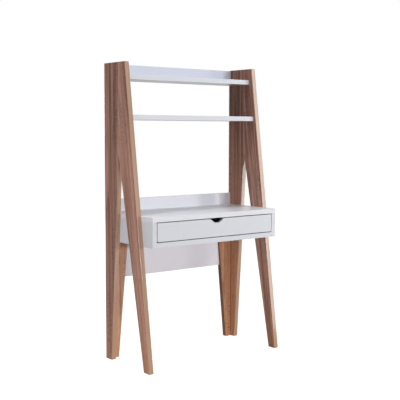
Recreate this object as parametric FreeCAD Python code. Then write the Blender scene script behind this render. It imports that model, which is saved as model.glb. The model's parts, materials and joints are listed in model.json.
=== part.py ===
import FreeCAD, Part
import os

# Ladder desk: two forked side frames carry two shelves, a back and a desk box with a drawer.
# Millimetres. X runs to the right as seen from the front, Y to the back and Z up. The origin
# is on the floor under the middle of the outside box. A depth is measured forwards from the
# vertical back edges of the side frames. Left-hand pieces are modelled, and right-hand ones
# are their mirror images.

Vector = FreeCAD.Vector

# Driving dimensions: side frames, each a rear post and a slanting front leg on one seam
FRAME_HEIGHT = 1520.0       # floor to the top of the frames
FRAME_WIDTH = 850.0         # outside to outside
FRAME_DEPTH = 396.0         # back edge to the toe, at the feet
FRAME_TOP_DEPTH = 190.0     # back edge to the front edge, at the top
FRAME_BOARD = 25.0          # thickness
FORK_DEPTH = 130.0          # seam between post and leg
FORK_HEIGHT = 1064.0        # where post and leg part
REAR_FOOT = 54.0            # depth of the post's foot
FRONT_FOOT = 49.0           # depth of the leg's foot
RETURN_FOOT = 38.0          # width of the leg return at its foot
RETURN_HEAD = 96.0          # width of the leg return under the desk

# Driving dimensions: shelves, back and desk box
SHELF_BOARD = 25.0
TOP_SHELF_DROP = 61.0       # upper face below the top of the frames
TOP_SHELF_SETBACK = 28.0    # behind the frames' front edges
SHELF_PITCH = 200.0         # top shelf to middle shelf
MIDDLE_SHELF_SETBACK = 17.0
BACK_BOARD = 16.0
TOP_RAIL_DROP = 3.0         # below the top of the frames
UPSTAND = 64.0              # back board above the desk top
MODESTY_DROP = 195.0        # modesty panel below the desk box
DESK_HEIGHT = 765.0         # upper face
DESK_DEPTH = 391.0          # back edge of the frames to the drawer front
DESK_BOARD = 25.0
DESK_OPENING = 100.0        # clear height for the drawer

# Driving dimensions: drawer
DRAWER_GAP = 4.0            # round the inset front
DRAWER_FRONT = 16.0
DRAWER_BOARD = 12.0
DRAWER_SIDE_HEIGHT = 75.0
DRAWER_ROOM = 11.0          # sides to the desk's back board
DRAWER_BASE = 3.0           # thin bottom board
GROOVE_DEPTH = 6.0
GROOVE_RISE = 8.0           # groove above the lower edge of the sides
GROOVE_PLAY = 0.2           # over the thin board
GROOVE_END = 0.5            # at the ends of the thin board
DRAWER_BACK_INSET = 10.0    # drawer back from the rear ends of the sides
HOUSING_DEPTH = 4.0         # drawer back's ends in the sides
HOUSING_PLAY = 0.2
SCOOP_TOP = 88.0            # finger scoop in the front's upper edge
SCOOP_BOTTOM = 34.0
SCOOP_DEPTH = 20.0
SCOOP_ROUND = 14.0

# Driving dimensions: roller runners
RUNNER_SPACE = 13.0         # desk side to drawer side
RUNNER_GAUGE = 1.2          # sheet steel
RUNNER_SETBACK = 3.0        # behind the drawer front's rear face
RUNNER_LIFT = 5.0           # drawer runner above the desk bottom
TRACK_RISE = 9.0            # track floor above the desk bottom
TRACK_LIP = 3.0             # guiding lip above the track floor
ROOF_GAP = 1.5              # drawer runner's flange to the track's roof
ROOF_WIDTH = 8.0
FLANGE_GAP = 1.2            # drawer runner's flange to the fixed web
ROLLER_RADIUS = 10.0
ROLLER_WIDTH = 5.0
ROLLER_INSET = 13.0         # axle from the end of its runner
ROLLER_EASE = 0.6
TRACK_PLAY = 0.3            # roller to track
SIDE_PLAY = 0.2             # roller to collar and head
LIP_PLAY = 0.5              # roller to guiding lip
SCREW_ROOM = 1.2            # for low screw heads on the fixed web
AXLE_RADIUS = 3.0
AXLE_PLAY = 0.05            # running fit of roller on axle
AXLE_HEAD = 4.4             # radius of collar and head
AXLE_HEAD_LENGTH = 0.8

# Driving dimensions: fasteners
FIT = 0.1                   # fastener to its hole, on the radius
DOWEL_RADIUS = 3.0
DOWEL_LENGTH = 26.0
DOWEL_BITE = 9.0            # in the rear face of the drawer front
TONGUE = 5.0                # thickness of the loose tongues
TONGUE_WIDTH = 24.0
BACK_TONGUE_WIDTH = 16.0
TONGUE_PLAY = 0.2           # at the edges and ends of a tongue
CAM_RADIUS = 7.5
CAM_COVER = 4.0             # cam past the axis of its bolt
CAM_REACH = 26.0            # joint to the middle of the cam
CAM_CLEARANCE = 0.5         # bolt head inside the cam
BOLT_THREAD = 11.0
BOLT_RADIUS = 3.0
BOLT_END = 2.6              # bolt past the middle of the cam
SCREW_RADIUS = 3.0
SCREW_HEAD = 5.0
SCREW_CONE = 2.6
SCREW_LENGTH = 42.0
GLIDE_RADIUS = 9.0
GLIDE_HEIGHT = 2.0

# Driving dimensions: edges and places of fasteners
EDGE_EASE = 1.0             # small bevel on every board edge
SEAM_MARGIN = 40.0          # ends of the seam tongue from fork and top
RETURN_MARGIN = 60.0        # ends of the return tongue from foot and desk
BACK_MARGIN = 20.0          # ends of the back tongues from the edges of their boards
EDGE_KEY_MARGIN = 40.0      # ends of the level back tongues from the ends of their boards
TOP_CAM_MARGIN = 60.0       # cams under the desk top, from the front
BOTTOM_CAM_MARGIN = 150.0   # cams of the desk bottom, from the front
LEG_SCREW_DROP = 26.0       # leg screws below the desk top
DOWEL_DROP = 14.0           # upper dowel below the drawer side's upper edge
DOWEL_PITCH = 34.0

# Places that several pieces share
OUTER_X = FRAME_WIDTH / 2
INNER_X = OUTER_X - FRAME_BOARD
FOOT_Z = GLIDE_HEIGHT
TOP_SHELF_HEIGHT = FRAME_HEIGHT - TOP_SHELF_DROP
MIDDLE_SHELF_HEIGHT = TOP_SHELF_HEIGHT - SHELF_PITCH
DESK_UNDER_TOP = DESK_HEIGHT - DESK_BOARD
DESK_FLOOR = DESK_UNDER_TOP - DESK_OPENING
DESK_BOTTOM = DESK_FLOOR - DESK_BOARD
MODESTY_BOTTOM = DESK_BOTTOM - MODESTY_DROP
OPENING_X = INNER_X - DESK_BOARD
DRAWER_X = OPENING_X - RUNNER_SPACE
DRAWER_INNER_X = DRAWER_X - DRAWER_BOARD
FRONT_BACK_DEPTH = DESK_DEPTH - DRAWER_FRONT
DRAWER_REAR_DEPTH = BACK_BOARD + DRAWER_ROOM
DRAWER_SEAT = DESK_FLOOR + RUNNER_LIFT + RUNNER_GAUGE
DRAWER_RIM = DRAWER_SEAT + DRAWER_SIDE_HEIGHT
GROOVE_FLOOR = DRAWER_SEAT + GROOVE_RISE
TRACK_Z = DESK_FLOOR + TRACK_RISE
AXLE_Z = TRACK_Z + TRACK_PLAY + ROLLER_RADIUS
FLANGE_Z = AXLE_Z + ROLLER_RADIUS + TRACK_PLAY + RUNNER_GAUGE
RUNNER_FRONT = FRONT_BACK_DEPTH - RUNNER_SETBACK
RUNNER_REAR = DRAWER_REAR_DEPTH
RUNNER_LENGTH = RUNNER_FRONT - RUNNER_REAR
ROLLER_OUT = RUNNER_GAUGE + SCREW_ROOM + AXLE_HEAD_LENGTH + SIDE_PLAY
ROLLER_IN = ROLLER_OUT + ROLLER_WIDTH

X_AXIS = Vector(1, 0, 0)
Y_AXIS = Vector(0, 1, 0)
Z_AXIS = Vector(0, 0, 1)

boards = {}     # node name to its one solid, before its holes are cut
sockets = {}    # node name to the holes that its fasteners need
groups = {}     # node name to the separate solids of a group of fasteners


# Heights, depths and widths on the slanting lines

def on_line(height, low, high):
    """Value at a height on the straight line through two (height, value) pairs."""
    share = (height - low[0]) / (high[0] - low[0])
    return low[1] + share * (high[1] - low[1])


def y_at(depth):
    """Y of a depth measured forwards from the back edges."""
    return FRAME_DEPTH / 2 - depth


def front_edge(height):
    """Depth of the frames' slanting front edge."""
    return on_line(height, (FOOT_Z, FRAME_DEPTH), (FRAME_HEIGHT, FRAME_TOP_DEPTH))


def post_edge(height):
    """Depth of the post's front edge below the fork."""
    return on_line(height, (FOOT_Z, REAR_FOOT), (FORK_HEIGHT, FORK_DEPTH))


def leg_edge(height):
    """Depth of the leg's rear edge below the fork."""
    return on_line(height, (FOOT_Z, FRAME_DEPTH - FRONT_FOOT), (FORK_HEIGHT, FORK_DEPTH))


def return_edge(height):
    """X of the left leg return's inner edge."""
    width = on_line(height, (FOOT_Z, RETURN_FOOT), (DESK_BOTTOM, RETURN_HEAD))
    return width - INNER_X


# Solids

def prism(points, sweep):
    """Solid swept from the closed outline through the points."""
    return Part.Face(Part.makePolygon(points + points[:1])).extrude(sweep)


def eased(board):
    """Board with a small bevel on every edge."""
    return board.makeChamfer(EDGE_EASE, board.Edges)


def frame_board(outline):
    """Left frame board from its (depth, height) corners."""
    points = [Vector(-OUTER_X, y_at(depth), height) for depth, height in outline]
    return eased(prism(points, X_AXIS * FRAME_BOARD))


def upright_board(outline, depth, thickness):
    """Board facing the front, from its (x, height) corners, with its rear face at a depth."""
    points = [Vector(x, y_at(depth), height) for x, height in outline]
    return eased(prism(points, Y_AXIS * -thickness))


def block(x_span, depth_span, z_span):
    """Plain block between two x, two depths and two heights."""
    corner = Vector(x_span[0], y_at(depth_span[1]), z_span[0])
    length = x_span[1] - x_span[0]
    width = depth_span[1] - depth_span[0]
    return Part.makeBox(length, width, z_span[1] - z_span[0], corner)


def turned(profile, base, axis):
    """Solid of revolution from (radius, reach) pairs along an axis from a base point."""
    points = [Vector(radius, 0, reach) for radius, reach in profile]
    solid = Part.Face(Part.makePolygon(points + points[:1])).revolve(Vector(), Z_AXIS, 360)
    solid.Placement = FreeCAD.Placement(base, FreeCAD.Rotation(Z_AXIS, axis))
    return solid


def rod(radius, start, end, base, axis):
    """Plain cylinder between two reaches along an axis."""
    return turned([(0, start), (radius, start), (radius, end), (0, end)], base, axis)


def mirrored(shape):
    """The right-hand image of a left-hand shape."""
    return shape.mirror(Vector(), X_AXIS)


# Fasteners: each adds its solids to a group and its holes to the boards it joins

def right_name(name):
    """Name of the right-hand twin, or the same name for a piece on the middle line."""
    return name.replace("left", "right")


def add_holes(node, holes):
    """Holes to be cut from one node."""
    sockets.setdefault(node, []).extend(holes)


def add_single(group, solid, holes):
    """One fastener with its (node, hole) pairs."""
    groups.setdefault(group, []).append(solid)
    for node, hole in holes:
        add_holes(node, [hole])


def add_pair(group, solid, holes):
    """One fastener on the left and its image on the right."""
    add_single(group, solid, holes)
    images = [(right_name(node), mirrored(hole)) for node, hole in holes]
    add_single(group, mirrored(solid), images)


def sunk_screw(base, axis, grow):
    """Countersunk screw from its head's face, or the hole that takes it when it is grown."""
    shank = SCREW_RADIUS + grow
    end = SCREW_LENGTH + grow
    profile = [(0, 0), (SCREW_HEAD + grow, 0), (shank, SCREW_CONE), (shank, end), (0, end)]
    return turned(profile, base, axis)


def cam_joint(name, thread_node, cam_node, seat, bolt_axis, cam_axis, cam_half):
    """Cam bolt screwed into one board and the cam that pulls it into another.

    seat is the bolt's place on the joint, bolt_axis points into the cam's board, cam_axis
    points out of the face that the cam is turned from, and cam_half is the bolt's distance
    below that face.
    """
    bolt_end = CAM_REACH + BOLT_END
    bolt = rod(BOLT_RADIUS, -BOLT_THREAD, bolt_end, seat, bolt_axis)
    thread_hole = rod(BOLT_RADIUS + FIT, -BOLT_THREAD - FIT, 0, seat, bolt_axis)
    shank_hole = rod(BOLT_RADIUS + FIT, 0, CAM_REACH, seat, bolt_axis)
    face = seat + bolt_axis * CAM_REACH + cam_axis * cam_half
    depth = cam_half + CAM_COVER
    throat = BOLT_RADIUS + CAM_CLEARANCE
    middle = Vector(-throat, -throat, CAM_REACH - 2 * CAM_RADIUS)
    slot = Part.makeBox(2 * throat, 2 * throat, 2 * CAM_RADIUS + BOLT_END + CAM_CLEARANCE, middle)
    slot.Placement = FreeCAD.Placement(seat, FreeCAD.Rotation(Z_AXIS, bolt_axis))
    cam = rod(CAM_RADIUS, 0, depth, face, -cam_axis).cut(slot)
    pocket = rod(CAM_RADIUS + FIT, 0, depth + FIT, face, -cam_axis)
    add_pair(name + "_cam_bolts", bolt, [(thread_node, thread_hole), (cam_node, shank_hole)])
    add_pair(name + "_cam_locks", cam, [(cam_node, pocket)])


def joint_strip(low, high, half, cross, thickness):
    """Strip along a joint line from low to high, half its width to each side along cross."""
    across = cross * half
    points = [low - across, low + across, high + across, high - across]
    normal = (high - low).cross(cross).normalize()
    return prism([point - normal * (thickness / 2) for point in points], normal * thickness)


def loose_tongue(low, high, width, cross):
    """Loose tongue let into both boards of a joint, and the groove that takes it."""
    run = (high - low).normalize()
    tongue = joint_strip(low, high, width / 2, cross, TONGUE)
    ends = (low - run * TONGUE_PLAY, high + run * TONGUE_PLAY)
    return tongue, joint_strip(*ends, width / 2 + TONGUE_PLAY, cross, TONGUE)


def groove_pair(nodes, groove):
    """Groove in two left-hand boards, and its image in their right-hand twins."""
    for node in nodes:
        add_holes(node, [groove])
        add_holes(right_name(node), [mirrored(groove)])


# Side frames

def make_frames():
    """Left post, leg and leg return with their loose tongues and foot glides."""
    top = FRAME_HEIGHT
    post = [(0, FOOT_Z), (REAR_FOOT, FOOT_Z), (FORK_DEPTH, FORK_HEIGHT), (FORK_DEPTH, top), (0, top)]
    boards["left_rear_post"] = frame_board(post)
    heel = FRAME_DEPTH - FRONT_FOOT
    leg = [(heel, FOOT_Z), (FRAME_DEPTH, FOOT_Z), (FRAME_TOP_DEPTH, top)]
    leg += [(FORK_DEPTH, top), (FORK_DEPTH, FORK_HEIGHT)]
    boards["left_front_leg"] = frame_board(leg)
    fin = [(-INNER_X, FOOT_Z), (return_edge(FOOT_Z), FOOT_Z)]
    fin += [(return_edge(DESK_BOTTOM), DESK_BOTTOM), (-INNER_X, DESK_BOTTOM)]
    boards["left_leg_return"] = upright_board(fin, 0, FRAME_BOARD)

    middle_x = -OUTER_X + FRAME_BOARD / 2
    low = Vector(middle_x, y_at(FORK_DEPTH), FORK_HEIGHT + SEAM_MARGIN)
    high = Vector(middle_x, y_at(FORK_DEPTH), top - SEAM_MARGIN)
    boards["left_seam_tongue"], groove = loose_tongue(low, high, TONGUE_WIDTH, Y_AXIS)
    groove_pair(["left_rear_post", "left_front_leg"], groove)

    middle_y = y_at(FRAME_BOARD / 2)
    low = Vector(-INNER_X, middle_y, FOOT_Z + RETURN_MARGIN)
    high = Vector(-INNER_X, middle_y, DESK_BOTTOM - RETURN_MARGIN)
    boards["left_return_tongue"], groove = loose_tongue(low, high, TONGUE_WIDTH, X_AXIS)
    groove_pair(["left_rear_post", "left_leg_return"], groove)

    feet = [(middle_x, REAR_FOOT / 2), (middle_x, FRAME_DEPTH - FRONT_FOOT / 2)]
    feet += [(RETURN_FOOT / 2 - INNER_X, FRAME_BOARD / 2)]
    for x, depth in feet:
        glide = rod(GLIDE_RADIUS, 0, GLIDE_HEIGHT, Vector(x, y_at(depth), 0), Z_AXIS)
        add_pair("foot_glides", glide, [])


# Shelves and back

def shelf_depth(height, setback):
    """Depth of a shelf's front edge, set back from the frames' edge at its middle height."""
    return front_edge(height - SHELF_BOARD / 2) - setback


def make_shelf(node, height, rear, front, carriers):
    """Shelf between the frames, pulled to the named frame boards by a cam at each end."""
    under = height - SHELF_BOARD
    boards[node] = eased(block((-INNER_X, INNER_X), (rear, front), (under, height)))
    bearings = {"left_rear_post": (rear + FORK_DEPTH) / 2, "left_front_leg": (FORK_DEPTH + front) / 2}
    for carrier in carriers:
        seat = Vector(-INNER_X, y_at(bearings[carrier]), height - SHELF_BOARD / 2)
        cam_joint("shelf", carrier, node, seat, X_AXIS, -Z_AXIS, SHELF_BOARD / 2)


def key_edge(node, joined, height, half_span):
    """Level loose tongue between a back board and the rear edge of a board in front of it."""
    reach = half_span - EDGE_KEY_MARGIN
    ends = [Vector(x, y_at(BACK_BOARD), height) for x in (-reach, reach)]
    tongue, groove = loose_tongue(*ends, BACK_TONGUE_WIDTH, Y_AXIS)
    add_single("back_tongues", tongue, [(node, groove), (joined, groove)])


def key_ends(node, carrier, low, high):
    """Loose tongue between each end of a back board and the board that carries it, from the
    (x, height) of its lower end to that of its upper end."""
    ends = [Vector(x, y_at(BACK_BOARD / 2), height) for x, height in (low, high)]
    tongue, groove = loose_tongue(*ends, BACK_TONGUE_WIDTH, X_AXIS)
    add_pair("back_tongues", tongue, [(carrier, groove)])
    add_holes(node, [groove, mirrored(groove)])


def make_shelves_and_back():
    """Two shelves, the rail behind the top one, the desk's back board and the modesty panel."""
    top_front = shelf_depth(TOP_SHELF_HEIGHT, TOP_SHELF_SETBACK)
    make_shelf("top_shelf", TOP_SHELF_HEIGHT, BACK_BOARD, top_front, ["left_front_leg"])
    middle_front = shelf_depth(MIDDLE_SHELF_HEIGHT, MIDDLE_SHELF_SETBACK)
    carriers = ["left_rear_post", "left_front_leg"]
    make_shelf("middle_shelf", MIDDLE_SHELF_HEIGHT, 0, middle_front, carriers)

    span = (-INNER_X, INNER_X)
    rail_bottom = TOP_SHELF_HEIGHT - SHELF_BOARD
    rail_top = FRAME_HEIGHT - TOP_RAIL_DROP
    boards["top_back_rail"] = eased(block(span, (0, BACK_BOARD), (rail_bottom, rail_top)))
    key_edge("top_back_rail", "top_shelf", TOP_SHELF_HEIGHT - SHELF_BOARD / 2, INNER_X)
    low = (-INNER_X, rail_bottom + BACK_MARGIN)
    key_ends("top_back_rail", "left_rear_post", low, (-INNER_X, rail_top - BACK_MARGIN))

    back_top = DESK_HEIGHT + UPSTAND
    boards["desk_back_board"] = eased(block(span, (0, BACK_BOARD), (DESK_BOTTOM, back_top)))
    key_edge("desk_back_board", "desk_top", DESK_HEIGHT - DESK_BOARD / 2, INNER_X)
    key_edge("desk_back_board", "desk_bottom", DESK_BOTTOM + DESK_BOARD / 2, OPENING_X)
    low = (-INNER_X, DESK_BOTTOM + BACK_MARGIN)
    key_ends("desk_back_board", "left_rear_post", low, (-INNER_X, back_top - BACK_MARGIN))

    high = return_edge(DESK_BOTTOM)
    low = return_edge(MODESTY_BOTTOM)
    outline = [(low, MODESTY_BOTTOM), (-low, MODESTY_BOTTOM), (-high, DESK_BOTTOM), (high, DESK_BOTTOM)]
    boards["modesty_panel"] = upright_board(outline, 0, BACK_BOARD)
    heights = (MODESTY_BOTTOM + BACK_MARGIN, DESK_BOTTOM - BACK_MARGIN)
    low, high = [(return_edge(height), height) for height in heights]
    key_ends("modesty_panel", "left_leg_return", low, high)


# Desk box

def make_desk_box():
    """Desk top on two sides, with the bottom between them, screwed to posts and legs."""
    depths = (BACK_BOARD, DESK_DEPTH)
    boards["desk_top"] = eased(block((-INNER_X, INNER_X), depths, (DESK_UNDER_TOP, DESK_HEIGHT)))
    side = block((-INNER_X, -OPENING_X), depths, (DESK_BOTTOM, DESK_UNDER_TOP))
    boards["desk_left_side"] = eased(side)
    bottom = block((-OPENING_X, OPENING_X), depths, (DESK_BOTTOM, DESK_FLOOR))
    boards["desk_bottom"] = eased(bottom)

    half = DESK_BOARD / 2
    seat = Vector(half - INNER_X, y_at(DESK_DEPTH - TOP_CAM_MARGIN), DESK_UNDER_TOP)
    cam_joint("desk", "desk_top", "desk_left_side", seat, -Z_AXIS, X_AXIS, half)
    seat = Vector(-OPENING_X, y_at(DESK_DEPTH - BOTTOM_CAM_MARGIN), DESK_BOTTOM + half)
    cam_joint("desk", "desk_left_side", "desk_bottom", seat, X_AXIS, -Z_AXIS, half)

    height = DESK_UNDER_TOP - LEG_SCREW_DROP
    places = {
        "left_rear_post": (BACK_BOARD + post_edge(height)) / 2,
        "left_front_leg": (leg_edge(height) + front_edge(height)) / 2,
    }
    for node, depth in places.items():
        base = Vector(-OPENING_X, y_at(depth), height)
        hole = sunk_screw(base, -X_AXIS, FIT)
        add_pair("leg_screws", sunk_screw(base, -X_AXIS, 0), [("desk_left_side", hole), (node, hole)])


# Drawer

def make_drawer_front():
    """Inset front with the finger scoop cut from its upper edge."""
    half = OPENING_X - DRAWER_GAP
    low = DESK_FLOOR + DRAWER_GAP
    high = DESK_UNDER_TOP - DRAWER_GAP
    front = eased(block((-half, half), (FRONT_BACK_DEPTH, DESK_DEPTH), (low, high)))
    slope = (SCOOP_TOP - SCOOP_BOTTOM) / 2 / SCOOP_DEPTH
    above = high + DRAWER_GAP
    wide = SCOOP_TOP / 2 + slope * DRAWER_GAP
    floor = high - SCOOP_DEPTH
    narrow = SCOOP_BOTTOM / 2
    corners = [(-wide, above), (-narrow, floor), (narrow, floor), (wide, above)]
    points = [Vector(x, y_at(FRONT_BACK_DEPTH), z) for x, z in corners]
    scoop = prism(points, Y_AXIS * -DRAWER_FRONT)
    lower_edges = [e for e in scoop.Edges if e.BoundBox.ZMax < above and e.BoundBox.XLength < narrow]
    scoop = scoop.makeFillet(SCOOP_ROUND, lower_edges)
    boards["drawer_front"] = front.cut(scoop)


def make_drawer():
    """Drawer front dowelled to the sides, a back housed between them and a thin bottom."""
    make_drawer_front()
    depths = (DRAWER_REAR_DEPTH, FRONT_BACK_DEPTH)
    side = block((-DRAWER_X, -DRAWER_INNER_X), depths, (DRAWER_SEAT, DRAWER_RIM))
    boards["drawer_left_side"] = eased(side)
    base_top = GROOVE_FLOOR + DRAWER_BASE
    rear = DRAWER_REAR_DEPTH + DRAWER_BACK_INSET
    back_depths = (rear, rear + DRAWER_BOARD)
    housed = DRAWER_INNER_X + HOUSING_DEPTH
    back_x = housed - HOUSING_PLAY
    boards["drawer_back"] = eased(block((-back_x, back_x), back_depths, (base_top, DRAWER_RIM)))
    housing = block((-housed, housed), back_depths, (base_top, DRAWER_RIM))

    tongue = GROOVE_DEPTH - GROOVE_END
    base_x = DRAWER_INNER_X + tongue
    base_depths = (rear, FRONT_BACK_DEPTH + tongue)
    boards["drawer_bottom"] = block((-base_x, base_x), base_depths, (GROOVE_FLOOR, base_top))
    groove_x = DRAWER_INNER_X + GROOVE_DEPTH
    groove_depths = (DRAWER_REAR_DEPTH, FRONT_BACK_DEPTH + GROOVE_DEPTH)
    groove = block((-groove_x, groove_x), groove_depths, (GROOVE_FLOOR, base_top + GROOVE_PLAY))
    add_holes("drawer_front", [groove])
    for node in ("drawer_left_side", "drawer_right_side"):
        add_holes(node, [groove, housing])

    middle_x = DRAWER_BOARD / 2 - DRAWER_X
    for drop in (DOWEL_DROP, DOWEL_DROP + DOWEL_PITCH):
        base = Vector(middle_x, y_at(FRONT_BACK_DEPTH + DOWEL_BITE), DRAWER_RIM - drop)
        dowel = rod(DOWEL_RADIUS, 0, DOWEL_LENGTH, base, Y_AXIS)
        hole = rod(DOWEL_RADIUS + FIT, -FIT, DOWEL_LENGTH + FIT, base, Y_AXIS)
        add_pair("drawer_dowels", dowel, [("drawer_front", hole), ("drawer_left_side", hole)])


# Runners and rollers

def folded(contour, offset):
    """Sheet-metal runner: a contour of (inset from the desk side, height) pairs given the
    sheet's thickness to one side, with rounded bends, and swept along the runner."""
    points = [Vector(inset - OPENING_X, y_at(RUNNER_FRONT), height) for inset, height in contour]
    section = Part.makePolygon(points).makeOffset2D(offset, 0, True, True, False)
    return section.extrude(Y_AXIS * RUNNER_LENGTH)


def axle(base, axis, collar):
    """Axle standing on the sheet: collar, running part and head."""
    run = collar + SIDE_PLAY + ROLLER_WIDTH + SIDE_PLAY
    end = run + AXLE_HEAD_LENGTH
    profile = [(0, 0), (AXLE_HEAD, 0), (AXLE_HEAD, collar), (AXLE_RADIUS, collar)]
    profile += [(AXLE_RADIUS, run), (AXLE_HEAD, run), (AXLE_HEAD, end), (0, end)]
    return turned(profile, base, axis)


def roller(base, axis, collar):
    """Bored roller with eased rims, past the collar of its axle."""
    bore = AXLE_RADIUS + AXLE_PLAY
    near = collar + SIDE_PLAY
    far = near + ROLLER_WIDTH
    rim = ROLLER_RADIUS - ROLLER_EASE
    profile = [(bore, near), (rim, near), (ROLLER_RADIUS, near + ROLLER_EASE)]
    profile += [(ROLLER_RADIUS, far - ROLLER_EASE), (rim, far), (bore, far)]
    return turned(profile, base, axis)


def make_runners():
    """Fixed and drawer runner of the left side, each with an axle and a roller."""
    roof = FLANGE_Z + ROOF_GAP
    lip = ROLLER_IN + LIP_PLAY
    track = [(lip, TRACK_Z + TRACK_LIP), (lip, TRACK_Z), (RUNNER_GAUGE, TRACK_Z)]
    track += [(RUNNER_GAUGE, roof), (ROOF_WIDTH, roof)]
    boards["left_fixed_runner"] = folded(track, RUNNER_GAUGE)
    under = RUNNER_SPACE + DRAWER_BOARD
    hook = [(RUNNER_GAUGE + FLANGE_GAP, FLANGE_Z), (RUNNER_SPACE, FLANGE_Z)]
    hook += [(RUNNER_SPACE, DRAWER_SEAT), (under, DRAWER_SEAT)]
    boards["left_drawer_runner"] = folded(hook, -RUNNER_GAUGE)

    base = Vector(RUNNER_GAUGE - OPENING_X, y_at(RUNNER_FRONT - ROLLER_INSET), AXLE_Z)
    collar = ROLLER_OUT - SIDE_PLAY - RUNNER_GAUGE
    add_pair("fixed_axles", axle(base, X_AXIS, collar), [])
    boards["left_front_roller"] = roller(base, X_AXIS, collar)

    web = RUNNER_SPACE - RUNNER_GAUGE
    base = Vector(web - OPENING_X, y_at(RUNNER_REAR + ROLLER_INSET), AXLE_Z)
    collar = web - ROLLER_IN - SIDE_PLAY
    add_pair("drawer_axles", axle(base, -X_AXIS, collar), [])
    boards["left_rear_roller"] = roller(base, -X_AXIS, collar)


def add_right_hand():
    """Mirror every left-hand piece."""
    for name in [name for name in boards if "left" in name]:
        boards[right_name(name)] = mirrored(boards[name])


def write_parts():
    """Cut the holes, write one file for each node and print what it holds."""
    os.makedirs("parts", exist_ok=True)
    shapes = dict(groups)
    for name, solid in boards.items():
        holes = sockets.get(name)
        shapes[name] = (solid.cut(holes) if holes else solid).Solids
    for name, solids in sorted(shapes.items()):
        Part.makeCompound(solids).exportStep("parts/" + name + ".step")
        volume = sum(solid.Volume for solid in solids) / 1000
        print(f"{name}: {len(solids)} solid(s), {volume:.1f} cm3")


make_frames()
make_shelves_and_back()
make_desk_box()
make_drawer()
make_runners()
add_right_hand()
write_parts()
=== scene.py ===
# %% [markdown]
# # A ladder desk, dressed over its CAD frame
#
# The desk is two brown forked side frames with white shelves, a white back and a white desk box
# with one drawer. The CAD model already holds every board, cam, runner and roller in its place.
# This lesson gives the boards their laminate, softens the edges that the light catches, and makes
# the small hardware finer. Lengths are in metres, X runs to the right, Y to the back and Z up.

# %% Load the frame
import json
import math

import bpy
import numpy as np
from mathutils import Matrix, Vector


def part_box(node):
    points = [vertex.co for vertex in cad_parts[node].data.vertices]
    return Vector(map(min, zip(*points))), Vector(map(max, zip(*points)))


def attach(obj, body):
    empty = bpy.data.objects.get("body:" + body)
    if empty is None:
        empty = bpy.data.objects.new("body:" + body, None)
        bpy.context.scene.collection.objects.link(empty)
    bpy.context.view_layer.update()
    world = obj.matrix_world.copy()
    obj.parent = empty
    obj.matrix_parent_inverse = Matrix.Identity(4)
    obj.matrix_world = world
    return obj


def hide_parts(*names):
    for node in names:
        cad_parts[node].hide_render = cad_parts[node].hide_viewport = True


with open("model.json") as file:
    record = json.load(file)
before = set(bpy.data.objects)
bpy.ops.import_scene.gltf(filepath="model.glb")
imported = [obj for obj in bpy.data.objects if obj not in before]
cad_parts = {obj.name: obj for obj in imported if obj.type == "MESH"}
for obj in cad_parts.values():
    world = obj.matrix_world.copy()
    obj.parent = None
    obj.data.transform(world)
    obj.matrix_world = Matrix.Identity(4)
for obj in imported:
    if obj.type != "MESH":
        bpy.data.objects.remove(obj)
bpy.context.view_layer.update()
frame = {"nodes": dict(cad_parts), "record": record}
nodes = frame["nodes"]

# %% [markdown]
# ## Finishes written as sums
#
# A laminate is printed paper under clear resin, so its look is a sum of layers: broad bands,
# streaks, fibres. Such sums are easiest to read as Python sums. The class below wraps one socket
# and turns +, - and * into Math nodes, also with a plain number on the left. Every other node comes
# from add(), which sets the node's settings first and then its sockets.

# %% A value on a surface


class Layer:
    """A value that changes over a surface, held by one output socket."""

    def __init__(self, finish, socket):
        self.finish = finish
        self.socket = socket

    def math(self, operation, first, second):
        return self.finish.add("Math", {"operation": operation}, {0: first, 1: second})

    def __add__(self, other):
        return self.math("ADD", self, other)

    def __sub__(self, other):
        return self.math("SUBTRACT", self, other)

    def __rsub__(self, other):
        return self.math("SUBTRACT", other, self)

    def __mul__(self, other):
        return self.math("MULTIPLY", self, other)

    __radd__ = __add__
    __rmul__ = __mul__


print("a layer adds, subtracts and multiplies")

# %% A finish


class Finish:
    """A material round one Principled shader, whose constants are set on its own sockets."""

    def __init__(self, name, constants):
        self.material = bpy.data.materials.new(name)
        self.material.use_nodes = True
        self.tree = self.material.node_tree
        self.shader = self.tree.nodes["Principled BSDF"]
        for label, value in constants.items():
            self.feed(self.shader.inputs[label], value)

    def feed(self, socket, value):
        """Link a layer to a socket, or set a plain value on it."""
        if isinstance(value, Layer):
            self.tree.links.new(value.socket, socket)
        else:
            socket.default_value = value

    def add(self, kind, settings, sockets, output=0):
        """Any node: its settings first, then the values or links of its sockets."""
        node = self.tree.nodes.new("ShaderNode" + kind)
        for label, value in settings.items():
            setattr(node, label, value)
        for label, value in sockets.items():
            self.feed(node.inputs[label], value)
        return Layer(self, node.outputs[output])

    def noise(self, place, detail, settings=None, distortion=0.0):
        """Smooth noise at a place, from 0 to 1 round a middle of a half."""
        sockets = {"Vector": place, "Scale": 1.0, "Detail": detail, "Distortion": distortion}
        return self.add("TexNoise", settings or {}, sockets)

    def stretched(self, place, scale, shift=(0.0, 0.0, 0.0)):
        """A place scaled by a number of waves to the metre along each axis."""
        return self.add("Mapping", {}, {"Vector": place, "Scale": scale, "Location": shift})

    def step(self, value, low, high):
        """Smooth step: 0 below low, 1 above high."""
        sockets = {"Value": value, "From Min": low, "From Max": high}
        return self.add("MapRange", {"interpolation_type": "SMOOTHSTEP"}, sockets)

    def mix(self, share, first, second):
        """Colour between two colours."""
        return self.add("Mix", {"data_type": "RGBA"}, {0: share, 6: first, 7: second}, 2)

    def raise_surface(self, height, depth):
        """Bump from a height layer that is depth metres deep."""
        sockets = {"Height": height, "Distance": depth, "Strength": 1.0}
        self.feed(self.shader.inputs["Normal"], self.add("Bump", {}, sockets))

    def colour(self, layer):
        self.feed(self.shader.inputs["Base Color"], layer)

    def roughness(self, layer):
        self.feed(self.shader.inputs["Roughness"], layer)


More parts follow.
